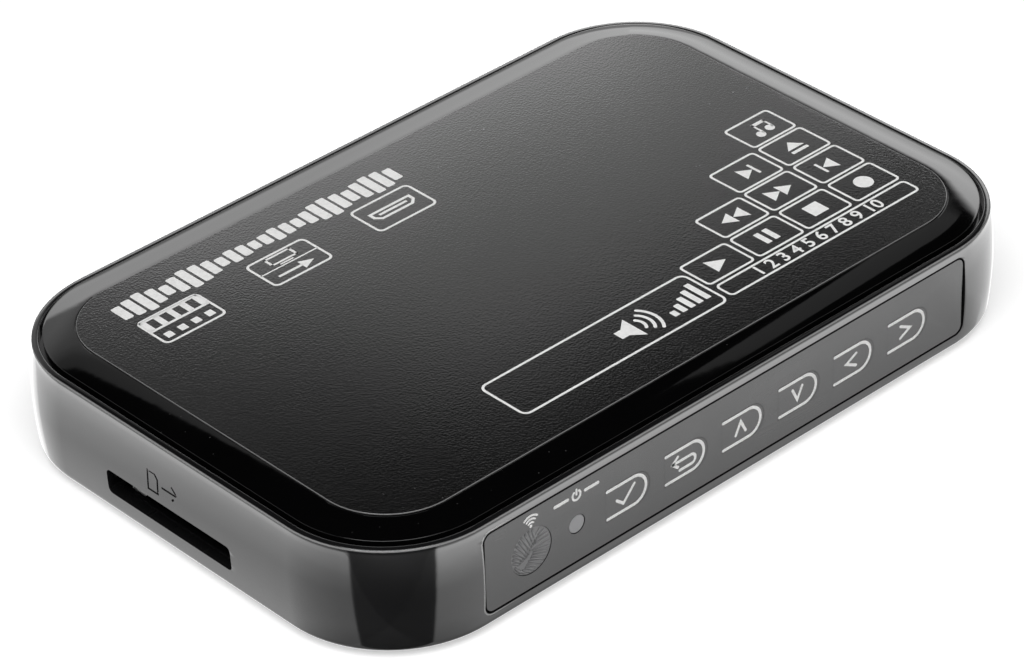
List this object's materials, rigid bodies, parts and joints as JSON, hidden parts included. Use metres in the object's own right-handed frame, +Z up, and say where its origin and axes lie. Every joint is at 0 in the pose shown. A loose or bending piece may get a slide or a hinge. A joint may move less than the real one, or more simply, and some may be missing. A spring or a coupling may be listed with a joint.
{
  "type": "media player",
  "caption": "Palm-size media player: glossy casing with rounded corners, domed cover with a textured plate, a sprung key row along one side, a card slot in one end and sockets behind.",
  "frame": {"origin": "centre of the casing's plan, on the surface it stands on, under the feet", "axes": "+X along the length away from the card slot, -Y towards the keys, +Z up"},
  "size_m": [0.1272, 0.0832, 0.0186],
  "materials": {
    "casing_black": "polished black ABS",
    "cover_black": "high-gloss black ABS",
    "plate_black": "black, fine leather grain",
    "panel_black": "gloss black panel",
    "window_grey": "smoked infrared window",
    "lens_grey": "milky light guide",
    "board_green": "solder resist",
    "chip_black": "moulded epoxy",
    "shell_steel": "nickel-plated steel",
    "contact_gold": "gold-plated spring metal",
    "sink_aluminium": "anodised",
    "pad_grey": "soft silicone",
    "can_aluminium": "plain can",
    "crystal_can": "pressed can",
    "ferrite_grey": "sintered ferrite",
    "foot_rubber": "soft rubber",
    "screw_steel": "zinc-plated, dark",
    "spring_steel": "spring wire",
    "insulator_black": "glass-filled nylon",
    "insulator_blue": "glass-filled nylon",
    "switch_white": "acetal plunger",
    "led_clear": "clear epoxy"
  },
  "bodies": {
    "player": {"lower_casing": "casing_black", "top_cover": "cover_black", "top_plate": "plate_black", "front_panel": "panel_black", "receiver_window": "window_grey", "lamp_lens": "lens_grey", "main_board": "board_green", "remote_receiver": "insulator_black", "power_led": "led_clear", "card_socket_frame": "insulator_black", "card_socket_shield": "shell_steel", "ejector_spring": "spring_steel", "card_contacts": "contact_gold", "processor": "chip_black", "thermal_pad": "pad_grey", "heat_sink": "sink_aluminium", "memory_chips": "chip_black", "flash_chip": "chip_black", "voltage_regulator": "chip_black", "inductors": "ferrite_grey", "capacitors": "can_aluminium", "crystal": "crystal_can", "power_socket": "insulator_black", "power_socket_pin": "contact_gold", "usb_shell": "shell_steel", "usb_tongue": "insulator_black", "hdmi_shell": "shell_steel", "hdmi_tongue": "insulator_black", "vga_shell": "shell_steel", "vga_insert": "insulator_blue", "vga_body": "insulator_black", "vga_posts": "shell_steel", "av_socket": "insulator_black", "av_collar": "contact_gold", "rubber_feet": "foot_rubber", "case_screws": "screw_steel", "board_screws": "screw_steel", "ok_switch": "insulator_black", "back_switch": "insulator_black", "up_switch": "insulator_black", "down_switch": "insulator_black", "left_switch": "insulator_black", "right_switch": "insulator_black"},
    "ok_key": {"ok_key": "panel_black"},
    "ok_plunger": {"ok_plunger": "switch_white"},
    "back_key": {"back_key": "panel_black"},
    "back_plunger": {"back_plunger": "switch_white"},
    "up_key": {"up_key": "panel_black"},
    "up_plunger": {"up_plunger": "switch_white"},
    "down_key": {"down_key": "panel_black"},
    "down_plunger": {"down_plunger": "switch_white"},
    "left_key": {"left_key": "panel_black"},
    "left_plunger": {"left_plunger": "switch_white"},
    "right_key": {"right_key": "panel_black"},
    "right_plunger": {"right_plunger": "switch_white"},
    "card_ejector": {"card_ejector": "insulator_black"}
  },
  "joints": [
    {"name": "ok_key_hinge", "type": "hinge", "parent": "player", "child": "ok_key", "pos_m": [-0.02365, -0.041, 0.00912], "axis": [0, 0, 1], "range_deg": [0, 3.3], "stiffness_Nm_per_rad": 0.1},
    {"name": "ok_plunger_slide", "type": "slide", "parent": "player", "child": "ok_plunger", "axis": [0, 1, 0], "range_m": [0, 0.0004]},
    {"name": "back_key_hinge", "type": "hinge", "parent": "player", "child": "back_key", "pos_m": [-0.01278, -0.041, 0.00912], "axis": [0, 0, 1], "range_deg": [0, 3.3], "stiffness_Nm_per_rad": 0.1},
    {"name": "back_plunger_slide", "type": "slide", "parent": "player", "child": "back_plunger", "axis": [0, 1, 0], "range_m": [0, 0.0004]},
    {"name": "up_key_hinge", "type": "hinge", "parent": "player", "child": "up_key", "pos_m": [-0.00191, -0.041, 0.00912], "axis": [0, 0, 1], "range_deg": [0, 3.3], "stiffness_Nm_per_rad": 0.1},
    {"name": "up_plunger_slide", "type": "slide", "parent": "player", "child": "up_plunger", "axis": [0, 1, 0], "range_m": [0, 0.0004]},
    {"name": "down_key_hinge", "type": "hinge", "parent": "player", "child": "down_key", "pos_m": [0.00896, -0.041, 0.00912], "axis": [0, 0, 1], "range_deg": [0, 3.3], "stiffness_Nm_per_rad": 0.1},
    {"name": "down_plunger_slide", "type": "slide", "parent": "player", "child": "down_plunger", "axis": [0, 1, 0], "range_m": [0, 0.0004]},
    {"name": "left_key_hinge", "type": "hinge", "parent": "player", "child": "left_key", "pos_m": [0.01983, -0.041, 0.00912], "axis": [0, 0, 1], "range_deg": [0, 3.3], "stiffness_Nm_per_rad": 0.1},
    {"name": "left_plunger_slide", "type": "slide", "parent": "player", "child": "left_plunger", "axis": [0, 1, 0], "range_m": [0, 0.0004]},
    {"name": "right_key_hinge", "type": "hinge", "parent": "player", "child": "right_key", "pos_m": [0.0307, -0.041, 0.00912], "axis": [0, 0, 1], "range_deg": [0, 3.3], "stiffness_Nm_per_rad": 0.1},
    {"name": "right_plunger_slide", "type": "slide", "parent": "player", "child": "right_plunger", "axis": [0, 1, 0], "range_m": [0, 0.0004]},
    {"name": "card_ejector_slide", "type": "slide", "parent": "player", "child": "card_ejector", "axis": [1, 0, 0], "range_m": [0, 0.003], "stiffness_N_per_m": 100, "deforming": ["ejector_spring"]}
  ],
  "couplings": [
    {"joint": "ok_plunger_slide", "follows": "ok_key_hinge", "m_per_rad": 0.0053},
    {"joint": "back_plunger_slide", "follows": "back_key_hinge", "m_per_rad": 0.0053},
    {"joint": "up_plunger_slide", "follows": "up_key_hinge", "m_per_rad": 0.0053},
    {"joint": "down_plunger_slide", "follows": "down_key_hinge", "m_per_rad": 0.0053},
    {"joint": "left_plunger_slide", "follows": "left_key_hinge", "m_per_rad": 0.0053},
    {"joint": "right_plunger_slide", "follows": "right_key_hinge", "m_per_rad": 0.0053}
  ]
}
